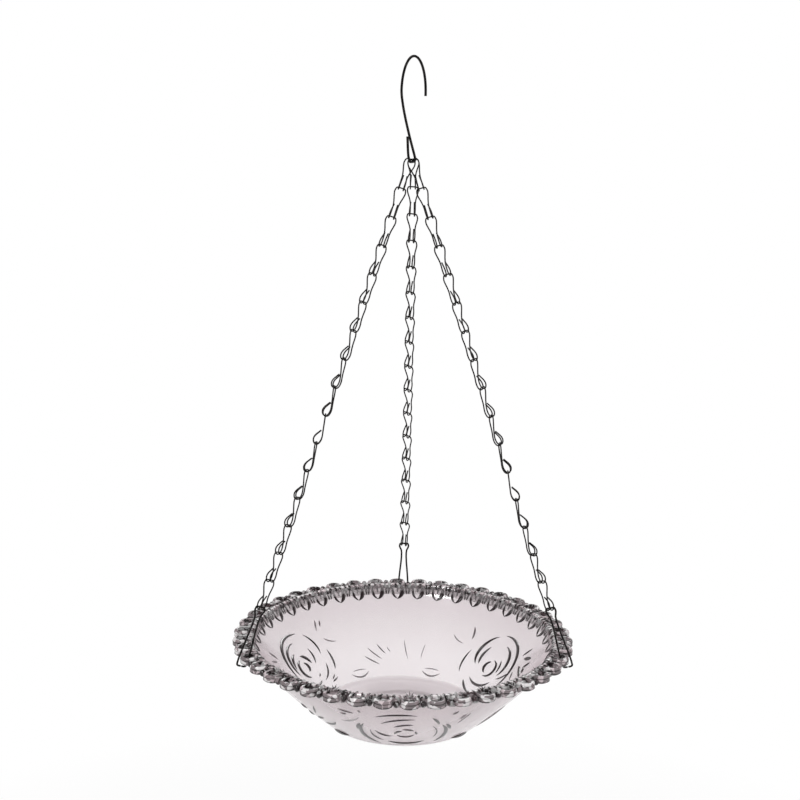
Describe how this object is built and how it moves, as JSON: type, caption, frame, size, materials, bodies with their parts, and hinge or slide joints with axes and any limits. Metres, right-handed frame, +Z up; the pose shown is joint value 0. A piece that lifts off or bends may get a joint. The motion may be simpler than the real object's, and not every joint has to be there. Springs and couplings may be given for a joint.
{
  "type": "hanging bird bath",
  "caption": "Hanging bird bath: round pressed-glass bowl with an open lace rim, held by rim clips on three ladder chains from a wire hook.",
  "frame": {"origin": "the hang point: inside top of the hook's crook, on the vertical axis of the bowl", "axes": "+Z up, +Y away from the front, where the back chain is, +X to the right seen from the front"},
  "size_m": [0.2498, 0.2498, 0.4835],
  "materials": {
    "hook_steel": "dark, glossy round wire",
    "chain_steel": "dark round wire",
    "clip_steel": "dark round wire",
    "glass": "clear pressed glass with a faint pink tint"
  },
  "bodies": {
    "hook": {"hook": "hook_steel"},
    "link_left_01": {"link_left_01": "chain_steel"},
    "link_left_02": {"link_left_02": "chain_steel"},
    "link_left_03": {"link_left_03": "chain_steel"},
    "link_left_04": {"link_left_04": "chain_steel"},
    "link_left_05": {"link_left_05": "chain_steel"},
    "link_left_06": {"link_left_06": "chain_steel"},
    "link_left_07": {"link_left_07": "chain_steel"},
    "link_left_08": {"link_left_08": "chain_steel"},
    "link_left_09": {"link_left_09": "chain_steel"},
    "link_left_10": {"link_left_10": "chain_steel"},
    "link_left_11": {"link_left_11": "chain_steel"},
    "link_left_12": {"link_left_12": "chain_steel"},
    "link_left_13": {"link_left_13": "chain_steel"},
    "link_left_14": {"link_left_14": "chain_steel"},
    "link_left_15": {"link_left_15": "chain_steel"},
    "link_left_16": {"link_left_16": "chain_steel"},
    "link_right_01": {"link_right_01": "chain_steel"},
    "link_right_02": {"link_right_02": "chain_steel"},
    "link_right_03": {"link_right_03": "chain_steel"},
    "link_right_04": {"link_right_04": "chain_steel"},
    "link_right_05": {"link_right_05": "chain_steel"},
    "link_right_06": {"link_right_06": "chain_steel"},
    "link_right_07": {"link_right_07": "chain_steel"},
    "link_right_08": {"link_right_08": "chain_steel"},
    "link_right_09": {"link_right_09": "chain_steel"},
    "link_right_10": {"link_right_10": "chain_steel"},
    "link_right_11": {"link_right_11": "chain_steel"},
    "link_right_12": {"link_right_12": "chain_steel"},
    "link_right_13": {"link_right_13": "chain_steel"},
    "link_right_14": {"link_right_14": "chain_steel"},
    "link_right_15": {"link_right_15": "chain_steel"},
    "link_right_16": {"link_right_16": "chain_steel"},
    "link_back_01": {"link_back_01": "chain_steel"},
    "link_back_02": {"link_back_02": "chain_steel"},
    "link_back_03": {"link_back_03": "chain_steel"},
    "link_back_04": {"link_back_04": "chain_steel"},
    "link_back_05": {"link_back_05": "chain_steel"},
    "link_back_06": {"link_back_06": "chain_steel"},
    "link_back_07": {"link_back_07": "chain_steel"},
    "link_back_08": {"link_back_08": "chain_steel"},
    "link_back_09": {"link_back_09": "chain_steel"},
    "link_back_10": {"link_back_10": "chain_steel"},
    "link_back_11": {"link_back_11": "chain_steel"},
    "link_back_12": {"link_back_12": "chain_steel"},
    "link_back_13": {"link_back_13": "chain_steel"},
    "link_back_14": {"link_back_14": "chain_steel"},
    "link_back_15": {"link_back_15": "chain_steel"},
    "link_back_16": {"link_back_16": "chain_steel"},
    "clip_left": {"clip_left": "clip_steel"},
    "clip_right": {"clip_right": "clip_steel"},
    "clip_back": {"clip_back": "clip_steel"},
    "glass_bowl": {"glass_bowl": "glass"}
  },
  "joints": [
    {"name": "hook_swing", "type": "hinge", "parent": "hook", "child": "link_left_01", "pos_m": [0, 0, -0.0703], "axis": [0.5, 0.866, 0], "range_deg": [-20, 20]},
    {"name": "right_link_01_swing", "type": "hinge", "parent": "hook", "child": "link_right_01", "pos_m": [0, 0, -0.0703], "axis": [0.5, 0.866, 0], "range_deg": [-20, 20]},
    {"name": "back_link_01_swing", "type": "hinge", "parent": "hook", "child": "link_back_01", "pos_m": [0, 0, -0.0703], "axis": [0.5, 0.866, 0], "range_deg": [-20, 20]},
    {"name": "bowl_lift", "type": "slide", "parent": "link_left_01", "child": "glass_bowl", "axis": [0, 0, 1], "range_m": [0, 0.016]},
    {"name": "left_clip_lean", "type": "hinge", "parent": "glass_bowl", "child": "clip_left", "pos_m": [-0.11282, -0.04974, -0.41775], "axis": [0.3954, -0.9185, 0], "range_deg": [-1.8, 0]},
    {"name": "left_link_16_fold", "type": "hinge", "parent": "clip_left", "child": "link_left_16", "pos_m": [-0.10065, -0.04451, -0.37979], "axis": [-0.8635, -0.3818, 0.3295], "range_deg": [-18.4, 0]},
    {"name": "left_link_15_fold", "type": "hinge", "parent": "link_left_16", "child": "link_left_15", "pos_m": [-0.09442, -0.04182, -0.36034], "axis": [-0.817, -0.4747, 0.3274], "range_deg": [0, 36.1]},
    {"name": "left_link_14_fold", "type": "hinge", "parent": "link_left_15", "child": "link_left_14", "pos_m": [-0.08818, -0.03914, -0.34089], "axis": [-0.7164, -0.6223, 0.3155], "range_deg": [-35.6, 0]},
    {"name": "left_link_13_fold", "type": "hinge", "parent": "link_left_14", "child": "link_left_13", "pos_m": [-0.08195, -0.03645, -0.32144], "axis": [-0.5929, -0.7499, 0.2935], "range_deg": [0, 36.5]},
    {"name": "left_link_12_fold", "type": "hinge", "parent": "link_left_13", "child": "link_left_12", "pos_m": [-0.07572, -0.03377, -0.302], "axis": [-0.4504, -0.8535, 0.2622], "range_deg": [-36, 0]},
    {"name": "left_link_11_fold", "type": "hinge", "parent": "link_left_12", "child": "link_left_11", "pos_m": [-0.06948, -0.03109, -0.28254], "axis": [-0.2935, -0.9297, 0.2224], "range_deg": [0, 36]},
    {"name": "left_link_10_fold", "type": "hinge", "parent": "link_left_11", "child": "link_left_10", "pos_m": [-0.06325, -0.0284, -0.2631], "axis": [-0.1272, -0.9762, 0.1755], "range_deg": [-36.3, 0]},
    {"name": "left_link_09_fold", "type": "hinge", "parent": "link_left_10", "child": "link_left_09", "pos_m": [-0.05701, -0.02572, -0.24365], "axis": [0.0432, -0.9915, 0.123], "range_deg": [0, 35.9]},
    {"name": "left_link_08_fold", "type": "hinge", "parent": "link_left_09", "child": "link_left_08", "pos_m": [-0.05078, -0.02303, -0.2242], "axis": [0.2122, -0.975, 0.0665], "range_deg": [-36.2, 0]},
    {"name": "left_link_07_fold", "type": "hinge", "parent": "link_left_08", "child": "link_left_07", "pos_m": [-0.04454, -0.02035, -0.20475], "axis": [0.3744, -0.9272, 0.0079], "range_deg": [0, 36.3]},
    {"name": "left_link_06_fold", "type": "hinge", "parent": "link_left_07", "child": "link_left_06", "pos_m": [-0.03831, -0.01766, -0.1853], "axis": [0.5247, -0.8498, -0.0509], "range_deg": [-35.5, 0]},
    {"name": "left_link_05_fold", "type": "hinge", "parent": "link_left_06", "child": "link_left_05", "pos_m": [-0.03207, -0.01498, -0.16585], "axis": [0.6581, -0.7451, -0.1081], "range_deg": [0, 37]},
    {"name": "left_link_04_fold", "type": "hinge", "parent": "link_left_05", "child": "link_left_04", "pos_m": [-0.02584, -0.0123, -0.1464], "axis": [0.7704, -0.6166, -0.1619], "range_deg": [-34.8, 0]},
    {"name": "left_link_03_fold", "type": "hinge", "parent": "link_left_04", "child": "link_left_03", "pos_m": [-0.0196, -0.00961, -0.12695], "axis": [0.8581, -0.4684, -0.2104], "range_deg": [0, 37.2]},
    {"name": "left_link_02_fold", "type": "hinge", "parent": "link_left_03", "child": "link_left_02", "pos_m": [-0.01337, -0.00693, -0.1075], "axis": [0.9183, -0.3051, -0.2522], "range_deg": [-35, 0]},
    {"name": "right_clip_lean", "type": "hinge", "parent": "glass_bowl", "child": "clip_right", "pos_m": [0.11654, -0.04027, -0.41775], "axis": [0.3266, 0.9452, 0], "range_deg": [0, 1.9]},
    {"name": "right_link_16_fold", "type": "hinge", "parent": "clip_right", "child": "link_right_16", "pos_m": [0.10389, -0.0359, -0.37984], "axis": [-0.8912, 0.308, -0.333], "range_deg": [0, 16.1]},
    {"name": "right_link_15_fold", "type": "hinge", "parent": "link_right_16", "child": "link_right_15", "pos_m": [0.09739, -0.03366, -0.36039], "axis": [-0.7271, 0.6109, -0.3132], "range_deg": [-37.2, 0]},
    {"name": "right_link_14_fold", "type": "hinge", "parent": "link_right_15", "child": "link_right_14", "pos_m": [0.0909, -0.03141, -0.34094], "axis": [-0.5479, 0.7904, -0.274], "range_deg": [0, 36.2]},
    {"name": "right_link_13_fold", "type": "hinge", "parent": "link_right_14", "child": "link_right_13", "pos_m": [0.08441, -0.02917, -0.32148], "axis": [-0.3498, 0.9102, -0.2218], "range_deg": [-35.1, 0]},
    {"name": "right_link_12_fold", "type": "hinge", "parent": "link_right_13", "child": "link_right_12", "pos_m": [0.07791, -0.02693, -0.30203], "axis": [-0.1491, 0.9754, -0.1623], "range_deg": [0, 37.3]},
    {"name": "right_link_11_fold", "type": "hinge", "parent": "link_right_12", "child": "link_right_11", "pos_m": [0.07142, -0.02468, -0.28258], "axis": [0.0428, 0.994, -0.1004], "range_deg": [-34.5, 0]},
    {"name": "right_link_10_fold", "type": "hinge", "parent": "link_right_11", "child": "link_right_10", "pos_m": [0.06493, -0.02244, -0.26313], "axis": [0.2189, 0.975, -0.0394], "range_deg": [0, 36.7]},
    {"name": "right_link_09_fold", "type": "hinge", "parent": "link_right_10", "child": "link_right_09", "pos_m": [0.05844, -0.02019, -0.24367], "axis": [0.3751, 0.9268, 0.0183], "range_deg": [-35.5, 0]},
    {"name": "right_link_08_fold", "type": "hinge", "parent": "link_right_09", "child": "link_right_08", "pos_m": [0.05194, -0.01795, -0.22422], "axis": [0.5101, 0.8572, 0.0714], "range_deg": [0, 35.3]},
    {"name": "right_link_07_fold", "type": "hinge", "parent": "link_right_08", "child": "link_right_07", "pos_m": [0.04545, -0.01571, -0.20477], "axis": [0.6239, 0.7724, 0.1191], "range_deg": [-36.9, 0]},
    {"name": "right_link_06_fold", "type": "hinge", "parent": "link_right_07", "child": "link_right_06", "pos_m": [0.03896, -0.01346, -0.18532], "axis": [0.7177, 0.6774, 0.1614], "range_deg": [0, 34]},
    {"name": "right_link_05_fold", "type": "hinge", "parent": "link_right_06", "child": "link_right_05", "pos_m": [0.03246, -0.01122, -0.16586], "axis": [0.793, 0.576, 0.1983], "range_deg": [-37.6, 0]},
    {"name": "right_link_04_fold", "type": "hinge", "parent": "link_right_05", "child": "link_right_04", "pos_m": [0.02597, -0.00898, -0.14641], "axis": [0.8518, 0.4708, 0.23], "range_deg": [0, 33.5]},
    {"name": "right_link_03_fold", "type": "hinge", "parent": "link_right_04", "child": "link_right_03", "pos_m": [0.01948, -0.00673, -0.12696], "axis": [0.8955, 0.3633, 0.257], "range_deg": [-37.2, 0]},
    {"name": "right_link_02_fold", "type": "hinge", "parent": "link_right_03", "child": "link_right_02", "pos_m": [0.01299, -0.00449, -0.10751], "axis": [0.9257, 0.2548, 0.2796], "range_deg": [0, 34.1]},
    {"name": "back_clip_lean", "type": "hinge", "parent": "glass_bowl", "child": "clip_back", "pos_m": [0, 0.1193, -0.41775], "axis": [-1, -0.0076, 0], "range_deg": [0, 2.9]},
    {"name": "back_link_16_fold", "type": "hinge", "parent": "clip_back", "child": "link_back_16", "pos_m": [0.0001, 0.10645, -0.37966], "axis": [1, 0.0008, -0.0023], "range_deg": [0, 8.1]},
    {"name": "back_link_15_fold", "type": "hinge", "parent": "link_back_16", "child": "link_back_15", "pos_m": [0.00015, 0.0999, -0.36022], "axis": [0.9613, -0.2604, -0.0903], "range_deg": [-27.4, 0]},
    {"name": "back_link_14_fold", "type": "hinge", "parent": "link_back_15", "child": "link_back_14", "pos_m": [0.0002, 0.09334, -0.34077], "axis": [0.9364, -0.3318, -0.1143], "range_deg": [0, 38.8]},
    {"name": "back_link_13_fold", "type": "hinge", "parent": "link_back_14", "child": "link_back_13", "pos_m": [0.00025, 0.08679, -0.32133], "axis": [0.9074, -0.3975, -0.1364], "range_deg": [-33.7, 0]},
    {"name": "back_link_12_fold", "type": "hinge", "parent": "link_back_13", "child": "link_back_12", "pos_m": [0.0003, 0.08023, -0.30189], "axis": [0.8774, -0.4539, -0.1553], "range_deg": [0, 36.5]},
    {"name": "back_link_11_fold", "type": "hinge", "parent": "link_back_12", "child": "link_back_11", "pos_m": [0.00035, 0.07368, -0.28245], "axis": [0.8499, -0.4986, -0.1703], "range_deg": [-35.6, 0]},
    {"name": "back_link_10_fold", "type": "hinge", "parent": "link_back_11", "child": "link_back_10", "pos_m": [0.0004, 0.06712, -0.26301], "axis": [0.8286, -0.5299, -0.1808], "range_deg": [0, 35.8]},
    {"name": "back_link_09_fold", "type": "hinge", "parent": "link_back_10", "child": "link_back_09", "pos_m": [0.00045, 0.06056, -0.24357], "axis": [0.8164, -0.5466, -0.1864], "range_deg": [-36.4, 0]},
    {"name": "back_link_08_fold", "type": "hinge", "parent": "link_back_09", "child": "link_back_08", "pos_m": [0.0005, 0.05401, -0.22413], "axis": [0.8153, -0.5481, -0.1869], "range_deg": [0, 35.9]},
    {"name": "back_link_07_fold", "type": "hinge", "parent": "link_back_08", "child": "link_back_07", "pos_m": [0.00055, 0.04745, -0.20469], "axis": [0.8259, -0.5336, -0.1821], "range_deg": [-37.1, 0]},
    {"name": "back_link_06_fold", "type": "hinge", "parent": "link_back_07", "child": "link_back_06", "pos_m": [0.0006, 0.0409, -0.18525], "axis": [0.8473, -0.5026, -0.1717], "range_deg": [0, 37.2]},
    {"name": "back_link_05_fold", "type": "hinge", "parent": "link_back_06", "child": "link_back_05", "pos_m": [0.00065, 0.03434, -0.16581], "axis": [0.877, -0.4546, -0.1556], "range_deg": [-36.3, 0]},
    {"name": "back_link_04_fold", "type": "hinge", "parent": "link_back_05", "child": "link_back_04", "pos_m": [0.0007, 0.02778, -0.14636], "axis": [0.9112, -0.3897, -0.1338], "range_deg": [0, 38.2]},
    {"name": "back_link_03_fold", "type": "hinge", "parent": "link_back_04", "child": "link_back_03", "pos_m": [0.00075, 0.02123, -0.12692], "axis": [0.9451, -0.3089, -0.1066], "range_deg": [-34.7, 0]},
    {"name": "back_link_02_fold", "type": "hinge", "parent": "link_back_03", "child": "link_back_02", "pos_m": [0.0008, 0.01467, -0.10748], "axis": [0.9739, -0.2143, -0.0748], "range_deg": [0, 37.2]}
  ],
  "couplings": [
    {"joint": "right_link_01_swing", "follows": "hook_swing", "ratio": 1},
    {"joint": "back_link_01_swing", "follows": "hook_swing", "ratio": 1},
    {"joint": "left_clip_lean", "follows": "bowl_lift", "rad_per_m": -1.8239},
    {"joint": "left_link_16_fold", "follows": "bowl_lift", "rad_per_m": -19.887},
    {"joint": "left_link_15_fold", "follows": "bowl_lift", "rad_per_m": 39.268},
    {"joint": "left_link_14_fold", "follows": "bowl_lift", "rad_per_m": -38.679},
    {"joint": "left_link_13_fold", "follows": "bowl_lift", "rad_per_m": 39.603},
    {"joint": "left_link_12_fold", "follows": "bowl_lift", "rad_per_m": -39.061},
    {"joint": "left_link_11_fold", "follows": "bowl_lift", "rad_per_m": 39.145},
    {"joint": "left_link_10_fold", "follows": "bowl_lift", "rad_per_m": -39.473},
    {"joint": "left_link_09_fold", "follows": "bowl_lift", "rad_per_m": 38.943},
    {"joint": "left_link_08_fold", "follows": "bowl_lift", "rad_per_m": -39.284},
    {"joint": "left_link_07_fold", "follows": "bowl_lift", "rad_per_m": 39.437},
    {"joint": "left_link_06_fold", "follows": "bowl_lift", "rad_per_m": -38.539},
    {"joint": "left_link_05_fold", "follows": "bowl_lift", "rad_per_m": 40.238},
    {"joint": "left_link_04_fold", "follows": "bowl_lift", "rad_per_m": -37.801},
    {"joint": "left_link_03_fold", "follows": "bowl_lift", "rad_per_m": 40.431},
    {"joint": "left_link_02_fold", "follows": "bowl_lift", "rad_per_m": -38.018},
    {"joint": "right_clip_lean", "follows": "bowl_lift", "rad_per_m": 1.8978},
    {"joint": "right_link_16_fold", "follows": "bowl_lift", "rad_per_m": 17.408},
    {"joint": "right_link_15_fold", "follows": "bowl_lift", "rad_per_m": -40.433},
    {"joint": "right_link_14_fold", "follows": "bowl_lift", "rad_per_m": 39.31},
    {"joint": "right_link_13_fold", "follows": "bowl_lift", "rad_per_m": -38.121},
    {"joint": "right_link_12_fold", "follows": "bowl_lift", "rad_per_m": 40.495},
    {"joint": "right_link_11_fold", "follows": "bowl_lift", "rad_per_m": -37.459},
    {"joint": "right_link_10_fold", "follows": "bowl_lift", "rad_per_m": 39.83},
    {"joint": "right_link_09_fold", "follows": "bowl_lift", "rad_per_m": -38.593},
    {"joint": "right_link_08_fold", "follows": "bowl_lift", "rad_per_m": 38.334},
    {"joint": "right_link_07_fold", "follows": "bowl_lift", "rad_per_m": -40.105},
    {"joint": "right_link_06_fold", "follows": "bowl_lift", "rad_per_m": 36.954},
    {"joint": "right_link_05_fold", "follows": "bowl_lift", "rad_per_m": -40.848},
    {"joint": "right_link_04_fold", "follows": "bowl_lift", "rad_per_m": 36.406},
    {"joint": "right_link_03_fold", "follows": "bowl_lift", "rad_per_m": -40.415},
    {"joint": "right_link_02_fold", "follows": "bowl_lift", "rad_per_m": 37.065},
    {"joint": "back_clip_lean", "follows": "bowl_lift", "rad_per_m": 2.969},
    {"joint": "back_link_16_fold", "follows": "bowl_lift", "rad_per_m": 8.6973},
    {"joint": "back_link_15_fold", "follows": "bowl_lift", "rad_per_m": -29.719},
    {"joint": "back_link_14_fold", "follows": "bowl_lift", "rad_per_m": 42.11},
    {"joint": "back_link_13_fold", "follows": "bowl_lift", "rad_per_m": -36.614},
    {"joint": "back_link_12_fold", "follows": "bowl_lift", "rad_per_m": 39.66},
    {"joint": "back_link_11_fold", "follows": "bowl_lift", "rad_per_m": -38.693},
    {"joint": "back_link_10_fold", "follows": "bowl_lift", "rad_per_m": 38.837},
    {"joint": "back_link_09_fold", "follows": "bowl_lift", "rad_per_m": -39.586},
    {"joint": "back_link_08_fold", "follows": "bowl_lift", "rad_per_m": 39.025},
    {"joint": "back_link_07_fold", "follows": "bowl_lift", "rad_per_m": -40.323},
    {"joint": "back_link_06_fold", "follows": "bowl_lift", "rad_per_m": 40.375},
    {"joint": "back_link_05_fold", "follows": "bowl_lift", "rad_per_m": -39.443},
    {"joint": "back_link_04_fold", "follows": "bowl_lift", "rad_per_m": 41.478},
    {"joint": "back_link_03_fold", "follows": "bowl_lift", "rad_per_m": -37.68},
    {"joint": "back_link_02_fold", "follows": "bowl_lift", "rad_per_m": 40.441}
  ]
}
